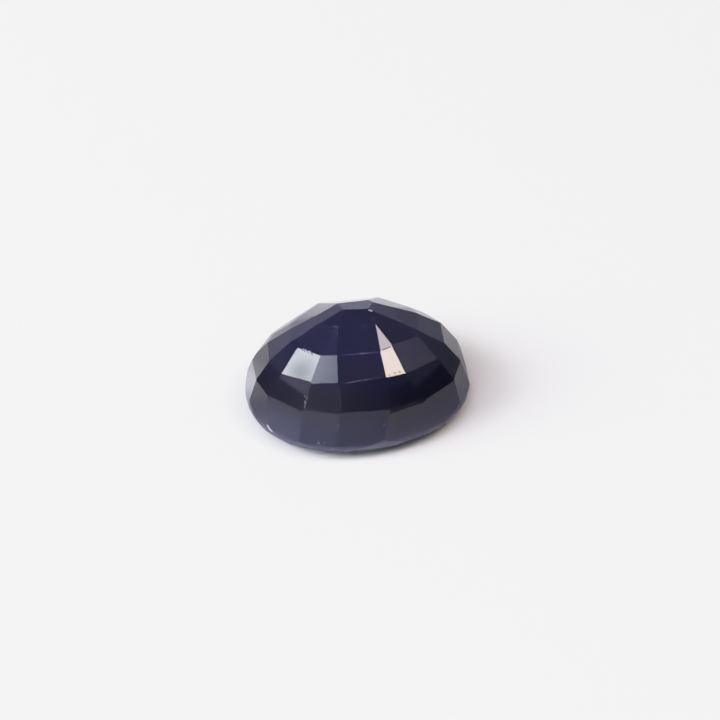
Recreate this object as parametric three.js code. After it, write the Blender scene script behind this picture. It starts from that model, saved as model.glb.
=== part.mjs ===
// A loose oval sapphire that lies on its table with the stepped pavilion up.
// Sizes are in millimetres and angles in degrees. X is the long axis, and Z is up from the table.
import * as THREE from "three";

const LENGTH = 10.0;
const WIDTH = 8.32;
const CROWN_HEIGHT = 0.55;
const TABLE_SHARE = 0.68;
const BLANK_HEIGHT = 6.5;

// The outline is a superellipse, a little fuller than an ellipse, ground as a ring of narrow flats.
const OUTLINE_POWER = 2.17;
const GIRDLE_FLATS = 64;

const CROWN_FACETS = 16;
const CROWN_BREAK_SHARE = 0.84;
const CROWN_BREAK_HEIGHT = 0.21;

// The pavilion's cutting chart has one row for each column of facets, going round from the left end.
// A cut is [turn about Z, slope from level, distance from the middle of the girdle], from the girdle up.
const PAVILION_CHART = {
  leftEnd: [[166, 73, 4.78], [161, 57, 4.56], [158, 45, 4.41], [154, 34, 4.36], [152, 27, 4.42]],
  frontA: [[195, 72, 4.78], [197, 56, 4.59], [196, 45, 4.49], [197, 37, 4.49]],
  frontB: [[218, 64, 4.38], [218, 58, 4.31], [215, 45, 4.31], [212, 33, 4.36], [206, 25, 4.49]],
  frontC: [[243, 63, 4.02], [243, 60, 4.0], [240, 46, 4.11], [236, 34, 4.26]],
  frontD: [[258, 65, 3.89], [258, 59, 3.87], [256, 45, 3.99], [255, 33, 4.15], [255, 25, 4.33]],
  frontE: [[281, 71, 4.0], [282, 60, 4.0], [285, 45, 4.12], [284, 34, 4.26]],
  frontF: [[297, 70, 4.22], [297, 56, 4.12], [299, 45, 4.15], [304, 33, 4.29], [310, 27, 4.4]],
  frontG: [[332, 73, 4.68], [335, 53, 4.45], [337, 45, 4.38], [335, 35, 4.42]],
  rightEnd: [[350, 73, 4.75], [354, 54, 4.47], [357, 42, 4.29], [2, 35, 4.27], [1, 26, 4.37]],
  backA: [[29, 64, 4.43], [36, 57, 4.28], [26, 42, 4.22], [29, 36, 4.18]],
  backB: [[52, 63, 4.15], [52, 56, 4.07], [50, 48, 3.97], [42, 36, 4.07]],
  backC: [[81, 66, 3.89], [81, 59, 3.87], [79, 47, 3.76], [82, 38, 3.86], [76, 18, 4.39]],
  backD: [[111, 65, 4.02], [109, 57, 3.96], [123, 47, 4.06], [126, 38, 4.11]],
  backE: [[136, 69, 4.49], [139, 56, 4.39], [138, 45, 4.24], [132, 38, 4.17]],
};

// One corner, worked out from the faces on each side of it, comes out no further apart than this.
const SAME_POINT = 1e-6;

// How far the outline reaches from the middle towards a turn, measured square to its tangent.
function outlineReach(turn) {
  const angle = THREE.MathUtils.degToRad(turn);
  const power = OUTLINE_POWER / (OUTLINE_POWER - 1);
  const along = Math.abs((LENGTH / 2) * Math.cos(angle)) ** power;
  const across = Math.abs((WIDTH / 2) * Math.sin(angle)) ** power;
  return (along + across) ** (1 / power);
}

// A slope of 0 faces straight up, 90 faces sideways and 180 faces straight down.
function facetNormal(turn, slope) {
  const around = THREE.MathUtils.degToRad(turn);
  const over = THREE.MathUtils.degToRad(slope);
  const level = Math.sin(over);
  return new THREE.Vector3(level * Math.cos(around), level * Math.sin(around), Math.cos(over));
}

function facetPlane(turn, slope, distance) {
  const normal = facetNormal(turn, slope);
  return new THREE.Plane(normal, -distance - normal.z * CROWN_HEIGHT);
}

// A crown facet between two levels, each given as a share of the outline and a height.
function crownPlane(turn, outer, inner) {
  const reach = outlineReach(turn);
  const fall = Math.atan2(outer.height - inner.height, (outer.share - inner.share) * reach);
  const normal = facetNormal(turn, 180 - THREE.MathUtils.radToDeg(fall));
  const level = Math.hypot(normal.x, normal.y);
  return new THREE.Plane(normal, -level * outer.share * reach - normal.z * outer.height);
}

function turnsRound(count, offset) {
  return Array.from({ length: count }, (_, i) => (360 * (i + offset)) / count);
}

function girdlePlanes() {
  return turnsRound(GIRDLE_FLATS, 0.5).map((turn) => facetPlane(turn, 90, outlineReach(turn)));
}

function crownPlanes() {
  const girdle = { share: 1, height: CROWN_HEIGHT };
  const middle = { share: CROWN_BREAK_SHARE, height: CROWN_BREAK_HEIGHT };
  const table = { share: TABLE_SHARE, height: 0 };
  const outer = turnsRound(CROWN_FACETS, 0.5).map((turn) => crownPlane(turn, girdle, middle));
  const inner = turnsRound(CROWN_FACETS, 0).map((turn) => crownPlane(turn, middle, table));
  return [...outer, ...inner];
}

function pavilionPlanes() {
  const cuts = Object.values(PAVILION_CHART).flat();
  return cuts.map(([turn, slope, distance]) => facetPlane(turn, slope, distance));
}

// The rough block, as flat faces whose corners run anticlockwise seen from outside.
function blank() {
  const [x, y, z] = [LENGTH, WIDTH, BLANK_HEIGHT];
  const corners = [0, z].map((height) => [
    new THREE.Vector3(-x, -y, height),
    new THREE.Vector3(x, -y, height),
    new THREE.Vector3(x, y, height),
    new THREE.Vector3(-x, y, height),
  ]);
  const [low, high] = corners;
  const sides = low.map((corner, i) => {
    const next = (i + 1) % low.length;
    return [corner, low[next], high[next], high[i]];
  });
  return [[...low].reverse(), high, ...sides];
}

function withoutRepeats(loop) {
  return loop.filter((point, i) => point.distanceTo(loop.at(i - 1)) > SAME_POINT);
}

// Puts the corners of a new flat in order around its normal, each of them once.
function orderedLoop(points, normal) {
  const middle = new THREE.Vector3();
  points.forEach((point) => middle.addScaledVector(point, 1 / points.length));
  const side = points[0].clone().sub(middle).normalize();
  const upward = normal.clone().cross(side);
  const angle = (point) => {
    const offset = point.clone().sub(middle);
    return Math.atan2(offset.dot(upward), offset.dot(side));
  };
  return withoutRepeats([...points].sort((a, b) => angle(a) - angle(b)));
}

// Grinds away what lies outside a plane, and closes the cut with one new flat.
function grind(faces, plane) {
  const kept = [];
  const rim = [];
  for (const face of faces) {
    const loop = [];
    face.forEach((corner, i) => {
      const next = face[(i + 1) % face.length];
      const here = plane.distanceToPoint(corner);
      const there = plane.distanceToPoint(next);
      if (here <= 0) loop.push(corner);
      if (here * there < 0) {
        const crossing = corner.clone().lerp(next, here / (here - there));
        loop.push(crossing);
        rim.push(crossing);
      }
    });
    kept.push(withoutRepeats(loop));
  }
  if (rim.length > 2) kept.push(orderedLoop(rim, plane.normal));
  return kept.filter((loop) => loop.length > 2);
}

// Each flat face becomes a fan of triangles, and no corner is shared, so that facets shade flat.
function facetedGeometry(faces) {
  const corners = faces.flatMap((face) =>
    face.slice(2).flatMap((corner, i) => [face[0], face[i + 1], corner]),
  );
  const geometry = new THREE.BufferGeometry().setFromPoints(corners);
  geometry.computeVertexNormals();
  geometry.computeBoundingBox();
  const middle = geometry.boundingBox.getCenter(new THREE.Vector3());
  return geometry.translate(-middle.x, -middle.y, 0);
}

function sapphire() {
  const planes = [...girdlePlanes(), ...crownPlanes(), ...pavilionPlanes()];
  const geometry = facetedGeometry(planes.reduce(grind, blank()));
  const material = new THREE.MeshStandardMaterial({ color: 0x1b1a3c, roughness: 0.05, metalness: 0 });
  const mesh = new THREE.Mesh(geometry, material);
  mesh.name = "sapphire";
  return mesh;
}

const stone = new THREE.Group();
stone.add(sapphire());

export default stone;
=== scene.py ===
import math

import bpy
import numpy as np
from mathutils import Matrix, Vector


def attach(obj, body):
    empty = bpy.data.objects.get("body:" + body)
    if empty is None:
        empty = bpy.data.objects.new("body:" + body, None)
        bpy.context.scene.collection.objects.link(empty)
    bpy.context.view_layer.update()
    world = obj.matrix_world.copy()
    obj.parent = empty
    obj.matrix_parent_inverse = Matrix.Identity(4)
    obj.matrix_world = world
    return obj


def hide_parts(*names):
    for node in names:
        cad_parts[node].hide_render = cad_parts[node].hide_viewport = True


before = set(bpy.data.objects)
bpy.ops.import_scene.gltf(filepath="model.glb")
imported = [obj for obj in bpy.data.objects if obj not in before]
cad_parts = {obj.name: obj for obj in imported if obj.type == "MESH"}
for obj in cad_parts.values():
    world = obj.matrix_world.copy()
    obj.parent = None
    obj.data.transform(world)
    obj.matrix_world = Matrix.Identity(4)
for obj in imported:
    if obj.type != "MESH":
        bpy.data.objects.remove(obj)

# Lengths are in metres and angles in degrees. Azimuths are turns about +Z from +X, as seen from above.
MM = 0.001

# The camera: its distance and direction from a point just above the girdle's middle, and its lens.
LOOK_AT = Vector((-0.031, -0.198, 0.629)) * MM
CAMERA_AZIMUTH = 253.0
CAMERA_ELEVATION = 42.0
CAMERA_DISTANCE = 150.0 * MM
LENS = 169.1
SENSOR = 36.0
CLIP = (0.01, 10.0)
# How far the aim stands off LOOK_AT, to the right and up. It sets the stone a little low in the picture.
AIM_RIGHT = 0.078 * MM
AIM_UP = 1.22 * MM

# From here to NEAR_FACET, lengths are in millimetres.
# The stone's edges are rounded, and its facets very slightly domed, as hand polishing leaves them.
# Facets that face down stay flat. A rounded edge has a step for each ARC_STEP degrees that it turns.
EDGE_RADIUS = 0.07
DOME_RADIUS = 130.0
FLAT = 1e9
ARC_STEP = 9.0

# Wear fades out over this width from an edge, or over a share of a small facet's room. The next rings of
# corners stand at shares of what is left.
WEAR_WIDTH = 0.05
ROOM_SHARE = 0.45
RING_SHARES = (0.7, 0.4)

# Two facets are one plane, two points of a face one point, and corners of two faces one corner, if they
# are closer than this. Triangles with less area than SMALLEST_FACET start no facet. Directions are the
# same if they turn less than SAME_DIRECTION, in radians.
SAME_PLANE = 4e-4
SAME_POINT = 1e-7
SAME_CORNER = 20 * SAME_POINT
SMALLEST_FACET = 2e-4
SAME_DIRECTION = 1e-6

# Half the side of the block that the stone is ground from. A girdle facet's normal rises less than this.
BLOCK_HALF = 20.0
GIRDLE_RISE = 0.05

# Chips that the photograph shows, as (x, y, z, width, depth, whiteness), on or near the surface.
# The whiteness is partly the white of a chalky break and partly a painted glint, where a chip catches a
# lamp.
CHIPS = (
    # The bright nick on the girdle: its full white is partly a chalky break and partly a painted glint.
    (-4.63, -1.69, 0.89, 0.1, 0.022, 1.0),
    (-4.6, -1.77, 0.85, 0.13, 0.028, 1.0),
    (-4.56, -1.86, 0.82, 0.12, 0.026, 1.0),
    (-4.52, -1.95, 0.78, 0.09, 0.02, 1.0),
    (-2.83, -3.37, 1.0, 0.05, 0.008, 0.25),
    (-2.83, -3.44, 0.88, 0.07, 0.012, 0.35),
    # The keel chip: its near full white is partly a chalky break and partly a painted glint.
    (0.42, -0.37, 5.2, 0.12, 0.024, 0.9),
    (0.48, -0.42, 5.18, 0.1, 0.02, 0.9),
    (-2.71, -0.72, 4.02, 0.1, 0.016, 0.5),
    (-2.62, -0.85, 4.02, 0.13, 0.022, 0.6),
    (-2.52, -0.99, 4.02, 0.12, 0.02, 0.55),
    (-2.43, -1.12, 4.02, 0.1, 0.016, 0.5),
    (-3.06, -2.2, 2.65, 0.06, 0.01, 0.2),
    (-3.1, -2.32, 2.47, 0.08, 0.012, 0.25),
    (-3.14, -2.46, 2.26, 0.06, 0.01, 0.2),
    (-1.16, -0.78, 4.82, 0.05, 0.008, 0.3),
    (0.56, -2.02, 4.28, 0.07, 0.01, 0.0),
    (0.72, -2.0, 4.27, 0.08, 0.012, 0.0),
    (0.86, -1.97, 4.27, 0.06, 0.01, 0.0),
    (0.62, -2.86, 3.38, 0.05, 0.008, 0.1),
    (-2.3, -2.24, 3.25, 0.1, 0.018, 0.0),
)
# More of them where the photograph doesn't look, on edges that face away by this cosine and lie no lower
# than this height. Then come the ranges for the place along the edge, the width, the depth as a share of
# the width, and the whiteness.
HIDDEN_CHIPS = 14
HIDDEN_FACING = 0.1
HIDDEN_LOWEST = 0.3
HIDDEN_ALONG = (0.15, 0.85)
HIDDEN_WIDTHS = (0.06, 0.16)
HIDDEN_DEPTHS = (0.12, 0.2)
HIDDEN_WHITENESS = (0.1, 0.6)
CHIP_SEED = 7
# A chip is a few overlapping bites, each a share of its size, spread over a share of its width.
BITES = 3
BITE_SIZES = (0.55, 1.0)
BITE_SPREAD = 0.22
# Mesh sides near a chip are at most CHIP_MESH long, and grow with the gap to it.
CHIP_MESH = 0.017
MESH_GROWTH = 0.8
MOST_HALVINGS = 16
# A spot takes part in every facet whose plane is this close to the nearest one.
NEAR_FACET = 0.03

# Places where edges are worn lighter than the rest, and one with many pits, as (middle, radius).
WORN_PLACES = (
    ((-0.4 * MM, -1.95 * MM, 4.2 * MM), 1.05 * MM),
    ((-0.75 * MM, -2.75 * MM, 3.34 * MM), 0.8 * MM),
    ((-1.17 * MM, -0.78 * MM, 4.81 * MM), 0.35 * MM),
    ((0.05 * MM, -0.95 * MM, 4.9 * MM), 0.4 * MM),
    ((-3.1 * MM, -2.35 * MM, 2.42 * MM), 0.45 * MM),
)
PITTED_PLACES = (((0.92 * MM, -2.68 * MM, 3.52 * MM), 0.62 * MM),)

# The ground band round the girdle fades in and out between these heights.
GROUND_FOOT = (0.55 * MM, 0.63 * MM)
GROUND_TOP = (0.74 * MM, 0.86 * MM)

# The stone's clear inside. Colours are red, green, blue and alpha.
IOR = 1.77
ABSORB_COLOUR = (0.15, 0.0, 0.45, 1.0)
ABSORB_DENSITY = 1300.0

# Its murky body goes from the dim colour to the blue one towards the top and the foot, and in clouds.
DIM_BODY = (0.034, 0.032, 0.07, 1.0)
BLUE_BODY = (0.053, 0.046, 0.29, 1.0)
TOP_ZONE = (2.2 * MM, 4.2 * MM)
TOP_BLUE = 0.85
FOOT_ZONE = (1.3 * MM, 2.1 * MM)
FOOT_BLUE = 0.55
CLOUD_SCALE = 420.0
CLOUD_BLUE = 0.3

# Noise patterns. A scale is the number of cells in a metre.
BLOTCHES = {"scale": 1500.0, "detail": 3.0, "cut": (0.48, 0.66)}
GRAINS = {"scale": 9000.0, "detail": 3.0, "cut": (0.35, 0.65)}
FROST = {"scale": 16000.0, "cut": (0.3, 0.7), "tones": (0.14, 0.2)}
HAZE = {"scale": 700.0, "detail": 3.0, "cut": (0.35, 0.75), "tones": (0.012, 0.035)}

# Chalk is white and rough. An edge is worn this much in blotches, and this much in the worn places. Chips
# are as white as these tones, by their grain; on the bright chips this white is partly a painted glint.
# Clearness is half way between these two values without chalk, and falls to the second in full chalk.
CHALK_AND_GLINT_COLOUR = (0.6, 0.62, 0.62, 1.0)
CHALK_ROUGHNESS = 0.55
BLOTCH_WEAR = 0.14
PLACE_WEAR = 0.36
CHIP_WHITE_AND_GLINT_TONES = (0.6, 1.0)
CLEARNESS = (1.7, 0.1)

# Pits all over and in the pitted place, as (scale, chance, radius), and how rough and how deep they are.
# Relief is in thousandths of a millimetre.
STRAY_PITS = (4200.0, 0.012, 0.34)
CROWDED_PITS = (7500.0, 0.35, 0.5)
DOT_CORE = 0.1
STRAY_ROUGHNESS = 0.4
CROWDED_ROUGHNESS = 0.3
RELIEF_UNIT = 1e-6
STRAY_RELIEF = 2.2
CROWDED_RELIEF = 4.0
WAVE_SCALE = 450.0
WAVE_RELIEF = 2.5
SCRATCH_SCALE = 14000.0
SCRATCH_RELIEF = 6.0

# The numbers of a Mix node's colour sockets, and of the curve that moves red, green and blue together.
MIX_FIRST = 6
MIX_SECOND = 7
MIX_RESULT = 2
COMBINED_CURVE = 3

RING_STEPS = 96
FLOOR_RADIUS = 2.0
FLOOR_DROP = 0.004 * MM
PAPER_COLOUR = (0.86, 0.86, 0.86, 1.0)
PAPER_ROUGHNESS = 0.7
PAPER_SHINE = 0.1
BACKDROP_RADIUS = 4.0
BACKDROP_GLOW = (1.3, 1.3, 1.3, 1.0)
# The room's far light, as (height of its direction, colour).
ROOM_TONES = ((0.1, (0.85, 0.85, 0.86, 1.0)), (0.26, (0.2, 0.2, 0.205, 1.0)))

CARD_DISTANCE = 0.5
# A dimmer patch on the cool window: its place and radius, and the tones at its middle and its rim.
WINDOW_SHADE = ((-5.5 * MM, 1.8 * MM), 7.1 * MM, 0.6, 0.84)

# The tones of the low ring round the stone, as (azimuth from the camera's, tone), in rows from the floor up.
LOW_TONES = (
    (-180, 0.83), (-160, 0.75), (-147, 0.6), (-135, 0.5), (-110, 0.25), (-90, 0.06),
    (-76, 0.8), (-60, 1.25), (-19, 0.85), (8, 0.62), (35, 0.25), (50, 0.1),
    (125, 0.12), (144, 0.3), (152, 0.24), (172, 0.75), (180, 0.83),
)
MIDDLE_TONES = (
    (-180, 0.83), (-160, 0.72), (-147, 0.6), (-135, 0.5), (-110, 0.28), (-90, 0.16),
    (-76, 0.28), (-60, 0.22), (-42, 0.7), (-19, 0.8), (8, 0.55), (30, 0.2),
    (50, 0.03), (76, 0.03), (125, 0.14), (152, 0.28), (180, 0.83),
)
HIGH_TONES = (
    (-180, 0.83), (-160, 0.7), (-148, 0.62), (-120, 0.35), (-95, 0.28), (-75, 0.4),
    (-60, 0.78), (-45, 0.55), (-19, 0.31), (0, 0.24), (12, 0.08), (49, 0.1),
    (75, 0.12), (125, 0.14), (152, 0.42), (170, 0.75), (180, 0.83),
)
# The rows' blue is their tone times a tint. Then come the heights where a row ends and the next one starts.
RING_TINT = 1.28
RING_RADIUS = 20 * MM
LOW_END = 1.2 * MM
MIDDLE_START = 5.4 * MM
MIDDLE_END = 6.75 * MM
HIGH_START = 7.05 * MM
RING_FADE = 10.5 * MM
RING_HEIGHT = 12 * MM

# How much of the floor's light the stone mirrors, as (azimuth from the camera's, share).
FLOOR_TONES = (
    (-180, 0.95), (-162, 1.15), (-154, 0.65), (-138, 0.85), (-123, 0.63), (-104, 1.4),
    (-98, 1.4), (-80, 0.68), (-60, 1.0), (10, 1.0), (30, 0.7), (45, 0.55),
    (71, 0.45), (99, 0.62), (116, 0.5), (133, 0.64), (153, 0.88), (180, 0.93),
)
FLOOR_TINT = 1.03
FILTER_INNER = 5.25 * MM
FILTER_LIFT = 0.02 * MM

# The picture's tone curve, as (brightness, tone).
WHITE = 0.913
WHITE_POINT = 2.0
TONE_POINTS = ((0.4, 0.4), (0.75, 0.73), (1.0, 0.87), (1.2, WHITE))


def direction(azimuth, elevation):
    a, e = math.radians(azimuth), math.radians(elevation)
    return Vector((math.cos(e) * math.cos(a), math.cos(e) * math.sin(a), math.sin(e)))


# Shape of the stone

def facet_planes(mesh):
    """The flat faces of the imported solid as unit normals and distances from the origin, in millimetres."""
    corners = np.array([v.co for v in mesh.vertices], float) / MM
    triangles = [corners[list(p.vertices)] for p in mesh.polygons]
    areas = [np.linalg.norm(np.cross(t[1] - t[0], t[2] - t[0])) / 2 for t in triangles]
    groups = []
    for i in np.argsort(areas)[::-1]:
        t = triangles[i]
        for group in groups:
            if np.abs(t @ group["normal"] - group["distance"]).max() < SAME_PLANE:
                group["corners"].append(t)
                break
        else:
            if areas[i] < SMALLEST_FACET:
                continue
            normal = np.cross(t[1] - t[0], t[2] - t[0])
            normal /= np.linalg.norm(normal)
            groups.append({"normal": normal, "distance": (t @ normal).mean(), "corners": [t]})
    planes = []
    for group in groups:
        points = np.concatenate(group["corners"])
        middle = points.mean(0)
        normal = np.linalg.svd(points - middle)[2][-1]
        normal *= np.sign(normal @ group["normal"])
        planes.append((normal, (points @ normal).max()))
    return planes


def without_repeats(loop):
    return [p for i, p in enumerate(loop) if np.linalg.norm(p - loop[i - 1]) > SAME_POINT]


def ordered_loop(points, normal):
    """Corners of a convex face, in order round its normal."""
    points = np.array(points)
    middle = points.mean(0)
    side = points[0] - middle
    side /= np.linalg.norm(side)
    upward = np.cross(normal, side)
    angles = np.arctan2((points - middle) @ upward, (points - middle) @ side)
    return without_repeats(list(points[np.argsort(angles)]))


def grind(faces, index, normal, distance):
    """Cuts away what lies outside one plane. A face is (number of its plane, list of corners)."""
    kept, rim = [], []
    for face_index, loop in faces:
        heights = [p @ normal - distance for p in loop]
        new = []
        for i, p in enumerate(loop):
            q, here, there = loop[(i + 1) % len(loop)], heights[i], heights[(i + 1) % len(loop)]
            if here <= 0:
                new.append(p)
            if here * there < 0:
                crossing = p + (q - p) * (here / (here - there))
                new.append(crossing)
                rim.append(crossing)
        kept.append((face_index, without_repeats(new)))
    if len(rim) > 2:
        kept.append((index, ordered_loop(rim, normal)))
    return [(i, loop) for i, loop in kept if len(loop) > 2]


def block():
    """The rough block's faces, with plane numbers below zero."""
    faces = []
    for axis in range(3):
        for sign in (-1, 1):
            normal = np.zeros(3)
            normal[axis] = sign
            a, b = np.roll(normal, 1), np.roll(normal, 2)
            signs = ((-1, -1), (1, -1), (1, 1), (-1, 1))
            corners = [BLOCK_HALF * (normal + s * a + t * b) for s, t in signs]
            faces.append((-1, ordered_loop(corners, normal)))
    return faces


def numbered_corners(faces):
    """Gives each corner one number, shared by all the faces that meet there."""
    found, loops = [], []
    for index, loop in faces:
        numbers = []
        for p in loop:
            for i, q in enumerate(found):
                if np.abs(p - q).max() < SAME_CORNER:
                    numbers.append(i)
                    break
            else:
                numbers.append(len(found))
                found.append(p)
        clean = [n for i, n in enumerate(numbers) if n != numbers[i - 1]]
        if len(clean) > 2:
            loops.append((index, clean))
    return np.array(found), loops


def ground_stone(planes, inward=0.0):
    """The corners and faces that the planes cut from the block, each plane first moved inward."""
    faces = block()
    for i, (normal, distance) in enumerate(planes):
        faces = grind(faces, i, normal, distance - inward)
    return numbered_corners(faces)


def angle_between(a, b):
    return math.acos(max(-1.0, min(1.0, float(a @ b))))


def turned(a, b, share):
    """The direction that lies a share of the way round from a to b."""
    angle = angle_between(a, b)
    if angle < SAME_DIRECTION:
        return a
    return (math.sin((1 - share) * angle) * a + math.sin(share * angle) * b) / math.sin(angle)


def unit(v):
    return v / np.linalg.norm(v)


class Skin:
    """Collects points, each with its normal, its wear and its chip white, partly a painted glint, and the
    faces between them.
    """

    def __init__(self):
        self.points, self.normals, self.faces = [], [], []
        self.wear, self.chip_white_and_glint = [], []

    def add(self, point, normal, wear=0.0):
        self.points.append(point)
        self.normals.append(normal)
        self.wear.append(wear)
        self.chip_white_and_glint.append(0.0)
        return len(self.points) - 1

    def add_middle(self, a, b):
        return self.add(
            (self.points[a] + self.points[b]) / 2,
            unit(self.normals[a] + self.normals[b]),
            (self.wear[a] + self.wear[b]) / 2,
        )


def is_girdle(normal):
    return abs(normal[2]) < GIRDLE_RISE


def rounded_stone(planes, radius):
    """Rolls a ball inside the facets: each stays flat up to a narrow rounded edge."""
    corners, loops = ground_stone(planes, radius)
    skin = Skin()
    rim = {}
    domes = [FLAT if normal[2] < 0 else DOME_RADIUS for normal, _ in planes]
    for index, loop in loops:
        normal = planes[index][0]
        middle = corners[loop].mean(0)
        wear = 0.0 if is_girdle(normal) else 1.0
        for number in loop:
            lean = unit(normal + (corners[number] - middle) / domes[index])
            rim[index, number] = skin.add(corners[number] + radius * lean, lean, wear)
    add_facets(skin, planes, corners, loops, rim, radius, domes)
    arc, owner = add_edges(skin, corners, loops, rim, radius)
    add_corners(skin, corners, loops, arc, owner, radius)
    return skin


def inset(points, normal, width):
    """Moves each side of a flat convex face inward, as far as its short sides allow."""
    following = np.roll(points, -1, axis=0)
    lengths = np.linalg.norm(following - points, axis=1)
    sides = (following - points) / lengths[:, None]
    cosines = np.sum(np.roll(sides, 1, axis=0) * sides, axis=1)
    half_turns = np.sqrt((1 - cosines) / (1 + cosines))
    room = (lengths / (half_turns + np.roll(half_turns, -1))).min()
    step = min(width, ROOM_SHARE * room)
    return points + step * (np.cross(normal, sides) + half_turns[:, None] * sides)


def add_facets(skin, planes, corners, loops, rim, radius, domes):
    """Fills each facet with rings of corners, inward from its rim, over a slight dome."""
    for index, loop in loops:
        normal, dome = planes[index][0], domes[index]
        middle = corners[loop].mean(0)
        rings = [[rim[index, n] for n in loop]]
        reach = np.mean(np.sum((corners[loop] - middle) ** 2, axis=1))
        inner = inset(corners[loop], normal, WEAR_WIDTH) - middle
        for share in (1.0, *RING_SHARES):
            ring = []
            for offset in share * inner:
                rise = (reach - offset @ offset) / (2 * dome)
                lean = unit(normal + offset / dome)
                ring.append(skin.add(middle + offset + (radius + rise) * normal, lean))
            rings.append(ring)
        for outer, inside in zip(rings, rings[1:]):
            for i in range(len(loop)):
                j = (i + 1) % len(loop)
                skin.faces.append((outer[i], outer[j], inside[j]))
                skin.faces.append((outer[i], inside[j], inside[i]))
        centre = skin.add(middle + (radius + reach / (2 * dome)) * normal, normal)
        for i in range(len(loop)):
            skin.faces.append((rings[-1][i], rings[-1][(i + 1) % len(loop)], centre))


def add_edges(skin, corners, loops, rim, radius):
    """Fills each edge with a strip that turns from one facet's normal to the other's.

    Returns the function that gives the strip's points at a corner, and the facet on the left of each edge.
    """
    owner = {}
    for index, loop in loops:
        for i, number in enumerate(loop):
            owner[number, loop[(i + 1) % len(loop)]] = index
    arcs = {}

    def arc(number, left, right):
        if (number, right, left) in arcs:
            return arcs[number, right, left][::-1]
        if (number, left, right) not in arcs:
            a, b = rim[left, number], rim[right, number]
            na, nb = skin.normals[a], skin.normals[b]
            angle = math.degrees(angle_between(na, nb))
            steps = max(2, math.ceil(angle / ARC_STEP))
            inner = []
            for k in range(1, steps):
                share = k / steps
                lean = turned(na, nb, share)
                wear = (1 - share) * skin.wear[a] + share * skin.wear[b]
                inner.append(skin.add(corners[number] + radius * lean, lean, wear))
            arcs[number, left, right] = [a, *inner, b]
        return arcs[number, left, right]

    for (start, end), left in owner.items():
        right = owner[end, start]
        if left > right:
            continue
        first, second = arc(start, left, right), arc(end, left, right)
        if len(first) != len(second):
            raise ValueError("an edge turns by different angles at its ends")
        for k in range(len(first) - 1):
            skin.faces.append((second[k], first[k], first[k + 1]))
            skin.faces.append((second[k], first[k + 1], second[k + 1]))
    return arc, owner


def add_corners(skin, corners, loops, arc, owner, radius):
    """Closes the small spherical patch at each corner."""
    around = {}
    for index, loop in loops:
        for i, number in enumerate(loop):
            before = loop[i - 1]
            around.setdefault(number, {})[index] = owner[number, before]
    for number, following in around.items():
        start = next(iter(following))
        order, index = [], start
        while True:
            order.append(index)
            index = following[index]
            if index == start:
                break
        border = []
        for i, left in enumerate(order):
            border.extend(arc(number, left, order[(i + 1) % len(order)])[:-1])
        lean = unit(sum(skin.normals[i] for i in border))
        wear = np.mean([skin.wear[i] for i in border])
        centre = skin.add(corners[number] + radius * lean, lean, wear)
        for i, point in enumerate(border):
            skin.faces.append((point, border[(i + 1) % len(border)], centre))


# Chips

def outward(planes, spot):
    """The surface's direction at a spot on or near it, and how far the spot stands off."""
    heights = np.array([normal @ spot - distance for normal, distance in planes])
    near = [normal for (normal, _), height in zip(planes, heights) if height > heights.max() - NEAR_FACET]
    return unit(sum(near)), heights.max()


def hidden_chip_places(planes, edges, rng):
    """Places along the edges on the sides that the photograph doesn't show."""
    away = -np.array(direction(CAMERA_AZIMUTH, CAMERA_ELEVATION))
    hidden = []
    for a, b in edges:
        normal, _ = outward(planes, (a + b) / 2)
        if normal @ away > HIDDEN_FACING and min(a[2], b[2]) > HIDDEN_LOWEST:
            hidden.append((a, b))
    places = []
    for i in rng.choice(len(hidden), HIDDEN_CHIPS, replace=False):
        a, b = hidden[i]
        width = rng.uniform(*HIDDEN_WIDTHS)
        spot = a + rng.uniform(*HIDDEN_ALONG) * (b - a)
        depth = width * rng.uniform(*HIDDEN_DEPTHS)
        places.append((*spot, width, depth, rng.uniform(*HIDDEN_WHITENESS)))
    return places


def chip_bites(planes, edges):
    """Overlapping balls that bite the chips out, as (centre, radius, whiteness). The whiteness is partly a
    painted glint.
    """
    rng = np.random.default_rng(CHIP_SEED)
    bites = []
    for x, y, z, width, depth, white in (*CHIPS, *hidden_chip_places(planes, edges, rng)):
        spot = np.array((x, y, z))
        normal, height = outward(planes, spot)
        for _ in range(BITES):
            size = rng.uniform(*BITE_SIZES)
            wide, deep = width * size, depth * size
            radius = (wide ** 2 / 4 + deep ** 2) / (2 * deep)
            shift = rng.normal(size=3) * width * BITE_SPREAD
            shift -= (shift @ normal) * normal
            bites.append((spot - height * normal + shift + (radius - deep) * normal, radius, white))
    return bites


def refine(skin, bites):
    """Halves the sides of triangles near the chips until they are short there. Neighbours stay joined."""
    centres = np.array([centre for centre, _, _ in bites])
    radii = np.array([radius for _, radius, _ in bites])
    for _ in range(MOST_HALVINGS):
        points = np.array(skin.points)
        sides = sorted({tuple(sorted((t[i - 1], t[i]))) for t in skin.faces for i in range(3)})
        ends = np.array(sides)
        lengths = np.linalg.norm(points[ends[:, 0]] - points[ends[:, 1]], axis=1)
        middles = (points[ends[:, 0]] + points[ends[:, 1]]) / 2
        gaps = np.linalg.norm(middles[:, None] - centres[None], axis=2) - radii[None]
        limits = CHIP_MESH + MESH_GROWTH * np.maximum(gaps.min(1), 0)
        chosen = np.flatnonzero(lengths > limits)
        if not len(chosen):
            return
        new = {sides[i]: skin.add_middle(*sides[i]) for i in chosen}
        faces = []
        for face in skin.faces:
            faces.extend(halved(face, new))
        skin.faces = faces


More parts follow.
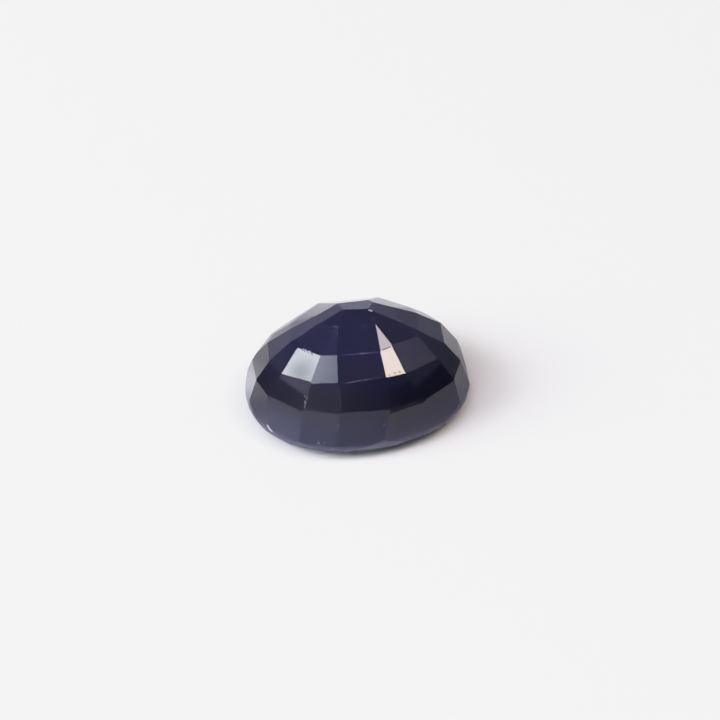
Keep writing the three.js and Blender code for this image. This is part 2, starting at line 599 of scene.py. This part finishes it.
def halved(face, new):
    """One triangle, cut where its sides have new middle points."""
    middles = [new.get(tuple(sorted((face[i], face[(i + 1) % 3])))) for i in range(3)]
    cuts = sum(m is not None for m in middles)
    if cuts == 0:
        return [face]
    if cuts == 3:
        (a, b, c), (ab, bc, ca) = face, middles
        return [(a, ab, ca), (ab, b, bc), (ca, bc, c), (ab, bc, ca)]
    first = next(i for i in range(3) if middles[i] is not None and (cuts == 1 or middles[i - 1] is None))
    a, b, c = (face[(first + i) % 3] for i in range(3))
    ab, bc = middles[first], middles[(first + 1) % 3]
    if cuts == 1:
        return [(a, ab, c), (ab, b, c)]
    return [(ab, b, bc), (a, ab, bc), (a, bc, c)]


def bite_out(skin, bites):
    """Pushes what lies inside a ball back onto it, and gives it the chip's whiteness, partly a painted
    glint.
    """
    points = np.array(skin.points)
    for centre, radius, white in bites:
        offsets = points - centre
        distances = np.linalg.norm(offsets, axis=1)
        for i in np.flatnonzero(distances < radius):
            away = offsets[i] / distances[i]
            points[i] = centre + radius * away
            skin.normals[i] = -away
            skin.chip_white_and_glint[i] = max(skin.chip_white_and_glint[i], white)
    skin.points = list(points)


def stone_edges(planes):
    """The ends of each sharp edge between two facets, leaving out those round the girdle."""
    corners, loops = ground_stone(planes)
    edges = []
    for index, loop in loops:
        if not is_girdle(planes[index][0]):
            edges += [(corners[a], corners[b]) for a, b in zip(loop, loop[1:] + loop[:1]) if a < b]
    return edges


def stone_object(node):
    """The dressed stone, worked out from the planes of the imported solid."""
    planes = facet_planes(node.data)
    skin = rounded_stone(planes, EDGE_RADIUS)
    bites = chip_bites(planes, stone_edges(planes))
    refine(skin, bites)
    bite_out(skin, bites)
    mesh = bpy.data.meshes.new("polished_stone")
    mesh.from_pydata([Vector(p) * MM for p in skin.points], [], skin.faces)
    mesh.update()
    for polygon in mesh.polygons:
        polygon.use_smooth = True
    mesh.normals_split_custom_set_from_vertices([Vector(n) for n in skin.normals])
    # The chip mark holds each chip's whiteness, partly a painted glint.
    for name, values in (("wear", skin.wear), ("chip_white_and_glint", skin.chip_white_and_glint)):
        mesh.attributes.new(name, "FLOAT", "POINT").data.foreach_set("value", [float(v) for v in values])
    piece = bpy.data.objects.new("polished_stone", mesh)
    bpy.context.scene.collection.objects.link(piece)
    return piece


# Materials

def new_material(name):
    """A material without nodes, and its node tree."""
    material = bpy.data.materials.new(name)
    material.use_nodes = True
    material.node_tree.nodes.clear()
    return material, material.node_tree


def to_surface(tree, shader):
    output = tree.nodes.new("ShaderNodeOutputMaterial")
    tree.links.new(shader, output.inputs["Surface"])
    return output


def feed(tree, socket, value):
    """Links a node's output to a socket, or sets the socket to a number or a colour."""
    if isinstance(value, bpy.types.NodeSocket):
        tree.links.new(value, socket)
    else:
        socket.default_value = value


def math_node(tree, operation, first, second):
    node = tree.nodes.new("ShaderNodeMath")
    node.operation = operation
    feed(tree, node.inputs[0], first)
    feed(tree, node.inputs[1], second)
    return node.outputs[0]


def times(tree, first, second):
    return math_node(tree, "MULTIPLY", first, second)


def plus(tree, first, second):
    return math_node(tree, "ADD", first, second)


def larger(tree, first, second):
    return math_node(tree, "MAXIMUM", first, second)


def smooth_step(tree, value, low, high, start=0.0, end=1.0):
    """Goes softly from start to end while the value goes from low to high."""
    node = tree.nodes.new("ShaderNodeMapRange")
    node.interpolation_type = "SMOOTHSTEP"
    node.inputs["From Min"].default_value = low
    node.inputs["From Max"].default_value = high
    node.inputs["To Min"].default_value = start
    node.inputs["To Max"].default_value = end
    tree.links.new(value, node.inputs["Value"])
    return node.outputs[0]


def noise(tree, where, scale, detail=2.0):
    node = tree.nodes.new("ShaderNodeTexNoise")
    node.inputs["Scale"].default_value = scale
    node.inputs["Detail"].default_value = detail
    tree.links.new(where, node.inputs["Vector"])
    return node.outputs[0]


def patches(tree, where, scale, cut, detail=2.0, tones=(0.0, 1.0)):
    """Noise that goes from one tone to the other between the two levels of its cut."""
    return smooth_step(tree, noise(tree, where, scale, detail), *cut, *tones)


def distance_from(tree, where, place):
    node = tree.nodes.new("ShaderNodeVectorMath")
    node.operation = "DISTANCE"
    tree.links.new(where, node.inputs[0])
    node.inputs[1].default_value = place
    return node.outputs["Value"]


def near_places(tree, where, places):
    """One within half the radius of any of the places, and nothing from its full radius on."""
    share = 0.0
    for middle, radius in places:
        near = smooth_step(tree, distance_from(tree, where, middle), 0.5 * radius, radius, 1.0, 0.0)
        share = larger(tree, near, share)
    return share


def mark(tree, name):
    """A value that the mesh holds at its points."""
    node = tree.nodes.new("ShaderNodeAttribute")
    node.attribute_name = name
    return node.outputs["Fac"]


def mixed_colour(tree, share, first, second):
    node = tree.nodes.new("ShaderNodeMix")
    node.data_type = "RGBA"
    tree.links.new(share, node.inputs["Factor"])
    feed(tree, node.inputs[MIX_FIRST], first)
    feed(tree, node.inputs[MIX_SECOND], second)
    return node.outputs[MIX_RESULT]


def dots(tree, where, scale, chance, radius):
    """Soft dots in some cells of a pattern. Their radius is a share of a cell."""
    cells = tree.nodes.new("ShaderNodeTexVoronoi")
    cells.inputs["Scale"].default_value = scale
    tree.links.new(where, cells.inputs["Vector"])
    split = tree.nodes.new("ShaderNodeSeparateColor")
    tree.links.new(cells.outputs["Color"], split.inputs[0])
    chosen = math_node(tree, "LESS_THAN", split.outputs[0], chance)
    dot = smooth_step(tree, cells.outputs["Distance"], DOT_CORE, radius, 1.0, 0.0)
    return times(tree, chosen, dot)


def chalk_and_glint(tree, where, height):
    """How white the surface is: along worn edges, round the ground girdle and in chipped spots, where the
    white is partly a painted glint.
    """
    blotches = times(tree, patches(tree, where, **BLOTCHES), BLOTCH_WEAR)
    places = times(tree, near_places(tree, where, WORN_PLACES), PLACE_WEAR)
    grains = patches(tree, where, **GRAINS)
    worn = times(tree, mark(tree, "wear"), times(tree, larger(tree, blotches, places), grains))
    above = smooth_step(tree, height, *GROUND_FOOT)
    below = smooth_step(tree, height, *GROUND_TOP, 1.0, 0.0)
    ground = times(tree, times(tree, above, below), patches(tree, where, **FROST))
    # The chips' white: partly a chalky break, partly a painted glint.
    chip_white_and_glint = times(tree, mark(tree, "chip_white_and_glint"), smooth_step(tree, grains, 0.0, 1.0, *CHIP_WHITE_AND_GLINT_TONES))
    return larger(tree, larger(tree, worn, ground), chip_white_and_glint)


def body_colour(tree, where, height):
    """Bluer at the top and at the foot than between them, with soft clouds."""
    top = smooth_step(tree, height, *TOP_ZONE, 0.0, TOP_BLUE)
    foot = smooth_step(tree, height, *FOOT_ZONE, FOOT_BLUE, 0.0)
    clouds = times(tree, noise(tree, where, CLOUD_SCALE), CLOUD_BLUE)
    return mixed_colour(tree, plus(tree, plus(tree, top, foot), clouds), DIM_BODY, BLUE_BODY)


def roughness(tree, where, white, stray, crowded):
    polish = larger(tree, patches(tree, where, **HAZE), times(tree, white, CHALK_ROUGHNESS))
    pits = larger(tree, times(tree, crowded, CROWDED_ROUGHNESS), times(tree, stray, STRAY_ROUGHNESS))
    return larger(tree, polish, pits)


def relief(tree, where, white, stray, crowded):
    """The slight waves of the polish, scratches in the chalk, and pits, as a bent normal."""
    wave = times(tree, noise(tree, where, WAVE_SCALE, detail=1.0), WAVE_RELIEF)
    pits = larger(tree, times(tree, stray, STRAY_RELIEF), times(tree, crowded, CROWDED_RELIEF))
    scratches = times(tree, noise(tree, where, SCRATCH_SCALE), times(tree, white, SCRATCH_RELIEF))
    bump = tree.nodes.new("ShaderNodeBump")
    bump.inputs["Distance"].default_value = RELIEF_UNIT
    tree.links.new(plus(tree, wave, math_node(tree, "SUBTRACT", scratches, pits)), bump.inputs["Height"])
    return bump.outputs["Normal"]


def corundum():
    """Clear deep blue stone with a murky body, worn edges, chips whose white is partly a painted glint, a
    ground girdle and a few pits.
    """
    material, tree = new_material("corundum")
    where = tree.nodes.new("ShaderNodeTexCoord").outputs["Object"]
    split = tree.nodes.new("ShaderNodeSeparateXYZ")
    tree.links.new(where, split.inputs[0])
    height = split.outputs["Z"]
    white = chalk_and_glint(tree, where, height)
    stray = dots(tree, where, *STRAY_PITS)
    crowded = times(tree, near_places(tree, where, PITTED_PLACES), dots(tree, where, *CROWDED_PITS))

    shader = tree.nodes.new("ShaderNodeBsdfPrincipled")
    shader.inputs["IOR"].default_value = IOR
    # The chalk colour also carries the painted glint on the bright chips.
    colour = mixed_colour(tree, white, body_colour(tree, where, height), CHALK_AND_GLINT_COLOUR)
    clearness = smooth_step(tree, white, -1.0, 1.0, *CLEARNESS)
    tree.links.new(colour, shader.inputs["Base Color"])
    tree.links.new(clearness, shader.inputs["Transmission Weight"])
    tree.links.new(roughness(tree, where, white, stray, crowded), shader.inputs["Roughness"])
    tree.links.new(relief(tree, where, white, stray, crowded), shader.inputs["Normal"])

    absorb = tree.nodes.new("ShaderNodeVolumeAbsorption")
    absorb.inputs["Color"].default_value = ABSORB_COLOUR
    absorb.inputs["Density"].default_value = ABSORB_DENSITY
    output = to_surface(tree, shader.outputs["BSDF"])
    tree.links.new(absorb.outputs["Volume"], output.inputs["Volume"])
    return material


def paper():
    material, tree = new_material("white_surface")
    shader = tree.nodes.new("ShaderNodeBsdfPrincipled")
    shader.inputs["Base Color"].default_value = PAPER_COLOUR
    shader.inputs["Roughness"].default_value = PAPER_ROUGHNESS
    shader.inputs["Specular IOR Level"].default_value = PAPER_SHINE
    to_surface(tree, shader.outputs["BSDF"])
    return material


# Surroundings

def mesh_piece(name, points, faces, material):
    mesh = bpy.data.meshes.new(name)
    mesh.from_pydata(points, [], faces)
    mesh.materials.append(material)
    piece = bpy.data.objects.new(name, mesh)
    bpy.context.scene.collection.objects.link(piece)
    return piece


def floor():
    ring = [direction(360 * i / RING_STEPS, 0) * FLOOR_RADIUS for i in range(RING_STEPS)]
    piece = mesh_piece("floor", ring, [tuple(range(RING_STEPS))], paper())
    piece.location.z = -FLOOR_DROP


def dimmed_patch(tree, where, place, radius, middle_tone, rim_tone):
    """The share of its glow that a card keeps, with a dimmer round patch."""
    gap = distance_from(tree, where, (*place, 0.0))
    inside = smooth_step(tree, gap, 0.0, radius, middle_tone, rim_tone)
    outside = smooth_step(tree, gap, 0.9 * radius, 1.1 * radius, 0.0, 1.0 - rim_tone)
    return plus(tree, inside, outside)


def card_material(name, colour, strength, edge, shade):
    """See-through, with a glow that fades out along the card's edges."""
    material, tree = new_material(name)
    where = tree.nodes.new("ShaderNodeTexCoord")
    split = tree.nodes.new("ShaderNodeSeparateXYZ")
    tree.links.new(where.outputs["Generated"], split.inputs[0])
    fades = [
        smooth_step(tree, math_node(tree, "PINGPONG", split.outputs[axis], 0.5), 0.0, edge)
        for axis in "XY"
    ]
    share = times(tree, *fades)
    if shade:
        share = times(tree, share, dimmed_patch(tree, where.outputs["Object"], *shade))
    glow = tree.nodes.new("ShaderNodeEmission")
    glow.inputs["Color"].default_value = (*colour, 1.0)
    tree.links.new(times(tree, share, strength), glow.inputs["Strength"])
    clear = tree.nodes.new("ShaderNodeBsdfTransparent")
    both = tree.nodes.new("ShaderNodeAddShader")
    tree.links.new(glow.outputs["Emission"], both.inputs[0])
    tree.links.new(clear.outputs["BSDF"], both.inputs[1])
    to_surface(tree, both.outputs["Shader"])
    return material


def soft_card(
    name, azimuth, elevation, width, height, colour, strength, edge, shade=None, lights=True, mirrored=True
):
    """A glowing card that faces the stone.

    Its azimuth is measured from the camera's, plus to the right. It fades out along its edges over a share
    of its width and height. A shade is a dimmer round patch: its place on the card, its radius, and the
    tones at its middle and just inside its rim. Where lights is false, the card shows only in mirror
    reflections. Where mirrored is false, it shows in none of them and only lights.
    """
    w, h = width / 2, height / 2
    corners = [(-w, -h, 0), (w, -h, 0), (w, h, 0), (-w, h, 0)]
    material = card_material(name, colour, strength, edge, shade)
    piece = mesh_piece(name, corners, [(0, 1, 2, 3)], material)
    towards = direction(CAMERA_AZIMUTH + azimuth, elevation)
    facing = towards.to_track_quat("Z", "Y").to_matrix().to_4x4()
    piece.matrix_world = Matrix.Translation(towards * CARD_DISTANCE) @ facing
    piece.visible_camera = False
    piece.visible_glossy = mirrored
    piece.visible_diffuse = piece.visible_transmission = lights


def cards():
    """The windows and lamps: azimuth, elevation, width, height, colour and strength of each."""
    soft_card(
        "cool_window", -72, 35, 0.36, 0.3, (0.92, 0.97, 1.02), 8.0,
        edge=0.08, shade=WINDOW_SHADE, lights=False,
    )
    soft_card("cool_pane", -38, 42, 0.22, 0.22, (0.89, 0.96, 1.12), 5.35, edge=0.4)
    soft_card("left_light", -76, 34, 0.34, 0.28, (0.97, 0.99, 1.03), 10.4, edge=0.08, mirrored=False)
    soft_card("front_fill", -35, 66, 0.4, 0.4, (0.94, 0.98, 1.1), 2.4, edge=0.2, mirrored=False)
    soft_card("warm_lamp", 62, 39, 0.16, 0.14, (1.18, 0.96, 0.84), 9.5, edge=0.08, lights=False)
    soft_card("warm_fill", 82, 60, 0.3, 0.3, (1.25, 0.95, 0.85), 3.4, edge=0.2, mirrored=False)
    soft_card("pink_lamp", 79, 58, 0.14, 0.15, (1.06, 0.92, 0.95), 6.3, edge=0.08, lights=False)
    soft_card("warm_skirt", 80, 33, 0.2, 0.2, (1.0, 0.95, 1.15), 0.42, edge=0.45)
    soft_card("upper_glow", -50, 68, 0.22, 0.22, (0.45, 0.42, 1.5), 0.12, edge=0.4)
    soft_card("ceiling_glow", -85, 62, 0.4, 0.3, (1.0, 1.0, 1.0), 0.07, edge=0.3)
    soft_card("back_pane", 180, 44, 0.2, 0.16, (0.95, 0.98, 1.04), 4.5, edge=0.2, lights=False)
    soft_card("side_pane", 138, 30, 0.1, 0.12, (1.05, 0.98, 0.93), 2.6, edge=0.3, lights=False)


def round_ramp(tree, vector, tones, tint):
    """A tone that changes with the turn about Z, from (azimuth, tone) stops, with its blue times a tint."""
    around = tree.nodes.new("ShaderNodeTexGradient")
    around.gradient_type = "RADIAL"
    tree.links.new(vector, around.inputs["Vector"])
    ramp = tree.nodes.new("ShaderNodeValToRGB")
    stops = ramp.color_ramp.elements
    while len(stops) < len(tones):
        stops.new(0.5)
    for stop, (azimuth, level) in zip(stops, tones):
        stop.position = 0.5 + azimuth / 360
        stop.color = (level, level, level * tint, 1)
    tree.links.new(around.outputs["Color"], ramp.inputs["Fac"])
    return ramp.outputs["Color"]


def gloss_only(name, inner, outer, material):
    """A band between two rings that only the stone's mirror reflections see."""
    piece = mesh_piece(name, *two_rings(inner, outer), material)
    piece.rotation_euler.z = math.radians(CAMERA_AZIMUTH)
    piece.visible_camera = piece.visible_diffuse = piece.visible_shadow = piece.visible_transmission = False


def two_rings(inner, outer):
    """Points of two rings about Z, each given as (radius, height), and the faces between them."""
    points = []
    for radius, height in (inner, outer):
        points += [
            direction(360 * i / RING_STEPS, 0) * radius + Vector((0, 0, height)) for i in range(RING_STEPS)
        ]
    faces = []
    for i in range(RING_STEPS):
        j = (i + 1) % RING_STEPS
        faces.append((i, j, RING_STEPS + j, RING_STEPS + i))
    return points, faces


def horizon_ring():
    """A low ring of card round the stone, bright on some sides and dark on others. Its top fades out."""
    material, tree = new_material("horizon_ring")
    where = tree.nodes.new("ShaderNodeTexCoord").outputs["Object"]
    split = tree.nodes.new("ShaderNodeSeparateXYZ")
    tree.links.new(where, split.inputs[0])
    height = split.outputs["Z"]
    rows = (LOW_TONES, MIDDLE_TONES, HIGH_TONES)
    low, middle, high = (round_ramp(tree, where, tones, RING_TINT) for tones in rows)
    lower = mixed_colour(tree, smooth_step(tree, height, LOW_END, MIDDLE_START), low, middle)
    colour = mixed_colour(tree, smooth_step(tree, height, MIDDLE_END, HIGH_START), lower, high)
    glow = tree.nodes.new("ShaderNodeEmission")
    tree.links.new(colour, glow.inputs["Color"])
    clear = tree.nodes.new("ShaderNodeBsdfTransparent")
    mix = tree.nodes.new("ShaderNodeMixShader")
    tree.links.new(smooth_step(tree, height, RING_FADE, RING_HEIGHT), mix.inputs[0])
    tree.links.new(glow.outputs["Emission"], mix.inputs[1])
    tree.links.new(clear.outputs["BSDF"], mix.inputs[2])
    to_surface(tree, mix.outputs["Shader"])
    gloss_only("horizon_ring", (RING_RADIUS, 0), (RING_RADIUS, RING_HEIGHT), material)


def floor_filter():
    """A clear sheet just over the floor, that dims or lifts what the stone mirrors of it."""
    material, tree = new_material("floor_filter")
    where = tree.nodes.new("ShaderNodeTexCoord").outputs["Object"]
    clear = tree.nodes.new("ShaderNodeBsdfTransparent")
    tree.links.new(round_ramp(tree, where, FLOOR_TONES, FLOOR_TINT), clear.inputs["Color"])
    to_surface(tree, clear.outputs["BSDF"])
    gloss_only("floor_filter", (FILTER_INNER, FILTER_LIFT), (RING_RADIUS, FILTER_LIFT), material)


def backdrop():
    """A pale wall all round, behind everything that the camera sees."""
    material, tree = new_material("backdrop")
    glow = tree.nodes.new("ShaderNodeEmission")
    glow.inputs["Color"].default_value = BACKDROP_GLOW
    to_surface(tree, glow.outputs["Emission"])
    rings = two_rings((BACKDROP_RADIUS, -BACKDROP_RADIUS), (BACKDROP_RADIUS, BACKDROP_RADIUS))
    piece = mesh_piece("backdrop", *rings, material)
    piece.visible_diffuse = piece.visible_glossy = piece.visible_transmission = piece.visible_shadow = False


def room():
    """The light from far away: pale from below up to the horizon, and dim overhead."""
    world = bpy.data.worlds.new("room")
    bpy.context.scene.world = world
    world.use_nodes = True
    tree = world.node_tree
    tree.nodes.clear()
    where = tree.nodes.new("ShaderNodeTexCoord")
    split = tree.nodes.new("ShaderNodeSeparateXYZ")
    tree.links.new(where.outputs["Generated"], split.inputs[0])
    ramp = tree.nodes.new("ShaderNodeValToRGB")
    tree.links.new(split.outputs["Z"], ramp.inputs["Fac"])
    for stop, (height, colour) in zip(ramp.color_ramp.elements, ROOM_TONES):
        stop.position = height
        stop.color = colour
    background = tree.nodes.new("ShaderNodeBackground")
    output = tree.nodes.new("ShaderNodeOutputWorld")
    tree.links.new(ramp.outputs["Color"], background.inputs["Color"])
    tree.links.new(background.outputs["Background"], output.inputs["Surface"])


def camera():
    back = direction(CAMERA_AZIMUTH, CAMERA_ELEVATION)
    right = direction(CAMERA_AZIMUTH + 90, 0)
    up = back.cross(right)
    data = bpy.data.cameras.new("camera")
    data.lens = LENS
    data.sensor_width = SENSOR
    data.clip_start, data.clip_end = CLIP
    eye = bpy.data.objects.new("camera", data)
    place = LOOK_AT + back * CAMERA_DISTANCE
    aim = LOOK_AT + right * AIM_RIGHT + up * AIM_UP
    facing = (place - aim).to_track_quat("Z", "Y").to_matrix().to_4x4()
    eye.matrix_world = Matrix.Translation(place) @ facing
    bpy.context.scene.collection.objects.link(eye)
    bpy.context.scene.camera = eye


def tone():
    """Plain tones with white held a little under full, as in the photograph."""
    view = bpy.context.scene.view_settings
    view.view_transform = "Standard"
    view.use_curve_mapping = True
    mapping = view.curve_mapping
    mapping.white_level = (WHITE_POINT,) * 3
    curve = mapping.curves[COMBINED_CURVE]
    for x, y in TONE_POINTS:
        curve.points.new(x / WHITE_POINT, y)
    curve.points[-1].location = (1.0, WHITE)
    mapping.update()


def light_paths():
    """Enough bounces for light that turns many times inside the stone."""
    cycles = bpy.context.scene.cycles
    cycles.max_bounces = 24
    cycles.transmission_bounces = 24
    cycles.glossy_bounces = 12
    cycles.caustics_reflective = False
    cycles.caustics_refractive = False


def main():
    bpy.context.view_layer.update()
    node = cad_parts["sapphire"]
    stone = stone_object(node)
    stone.data.materials.append(corundum())
    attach(stone, "root")
    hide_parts("sapphire")
    floor()
    cards()
    backdrop()
    horizon_ring()
    floor_filter()
    room()
    camera()
    tone()
    light_paths()


main()
